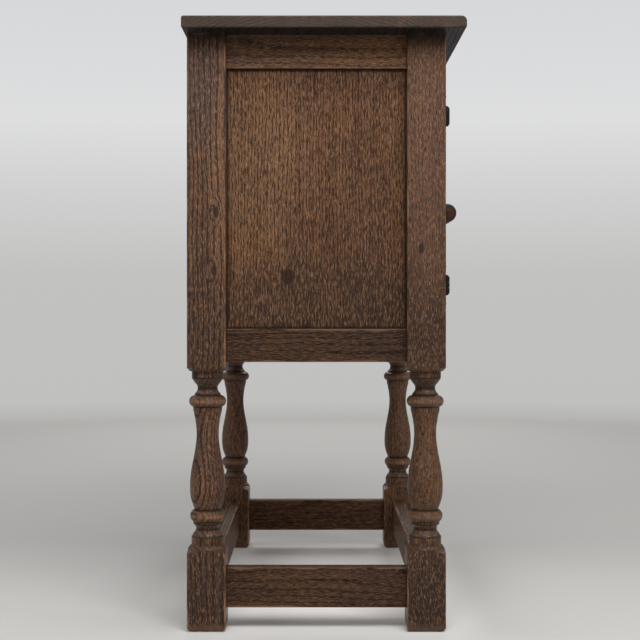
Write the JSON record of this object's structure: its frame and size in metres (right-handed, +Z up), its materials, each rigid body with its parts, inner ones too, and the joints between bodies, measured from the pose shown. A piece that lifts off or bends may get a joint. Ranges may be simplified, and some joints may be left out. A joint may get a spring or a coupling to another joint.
{
  "type": "side cabinet",
  "caption": "Oak cupboard on turned legs: framed sides, a pair of fielded doors on iron surface hinges, one shelf and a low stretcher frame.",
  "frame": {"origin": "on the floor, at the middle of the overall width and depth, knobs and top board included", "axes": "+Z up, the doors face -Y, +X to the right as seen from the front"},
  "size_m": [0.722, 0.3906, 0.804],
  "materials": {
    "frame_oak": "waxed dark oak",
    "panel_oak": "waxed dark oak",
    "top_oak": "polished dark oak",
    "inside_oak": "stained, little polish",
    "knob_wood": "polished, nearly black",
    "black_iron": "blackened, worn at the edges",
    "steel": "plated",
    "brown_plastic": "moulded",
    "magnet": "ground"
  },
  "bodies": {
    "cabinet": {"back_bottom_rail": "frame_oak", "back_left_leg": "frame_oak", "back_panel": "inside_oak", "back_right_leg": "frame_oak", "back_stretcher": "frame_oak", "back_top_rail": "frame_oak", "button_screws": "steel", "catch_case": "brown_plastic", "catch_magnets": "magnet", "catch_screws": "steel", "floor_board": "inside_oak", "front_bottom_rail": "frame_oak", "front_left_leg": "frame_oak", "front_right_leg": "frame_oak", "front_stretcher": "frame_oak", "front_top_rail": "frame_oak", "hinge_pins": "black_iron", "left_bottom_rail": "frame_oak", "left_lower_hinge_post_leaf": "black_iron", "left_panel": "panel_oak", "left_shelf_bearer": "inside_oak", "left_stretcher": "frame_oak", "left_top_rail": "frame_oak", "left_upper_hinge_post_leaf": "black_iron", "post_nails": "black_iron", "right_bottom_rail": "frame_oak", "right_lower_hinge_post_leaf": "black_iron", "right_panel": "panel_oak", "right_shelf_bearer": "inside_oak", "right_stretcher": "frame_oak", "right_top_rail": "frame_oak", "right_upper_hinge_post_leaf": "black_iron", "shelf": "inside_oak", "top_board": "top_oak", "top_buttons": "inside_oak"},
    "left_door": {"left_door_bottom_rail": "frame_oak", "left_door_hinge_stile": "frame_oak", "left_door_meeting_stile": "frame_oak", "left_door_nails": "black_iron", "left_door_panel": "panel_oak", "left_door_top_rail": "frame_oak", "left_knob": "knob_wood", "left_lower_hinge_door_leaf": "black_iron", "left_strike_plate": "steel", "left_upper_hinge_door_leaf": "black_iron"},
    "right_door": {"right_door_bottom_rail": "frame_oak", "right_door_hinge_stile": "frame_oak", "right_door_meeting_stile": "frame_oak", "right_door_nails": "black_iron", "right_door_panel": "panel_oak", "right_door_top_rail": "frame_oak", "right_knob": "knob_wood", "right_lower_hinge_door_leaf": "black_iron", "right_strike_plate": "steel", "right_upper_hinge_door_leaf": "black_iron"}
  },
  "joints": [
    {"name": "left_door_hinge", "type": "hinge", "parent": "cabinet", "child": "left_door", "pos_m": [-0.27525, -0.15605, 0.57125], "axis": [0, 0, -1], "range_deg": [0, 170]},
    {"name": "right_door_hinge", "type": "hinge", "parent": "cabinet", "child": "right_door", "pos_m": [0.27525, -0.15605, 0.57125], "axis": [0, 0, 1], "range_deg": [0, 170]}
  ]
}
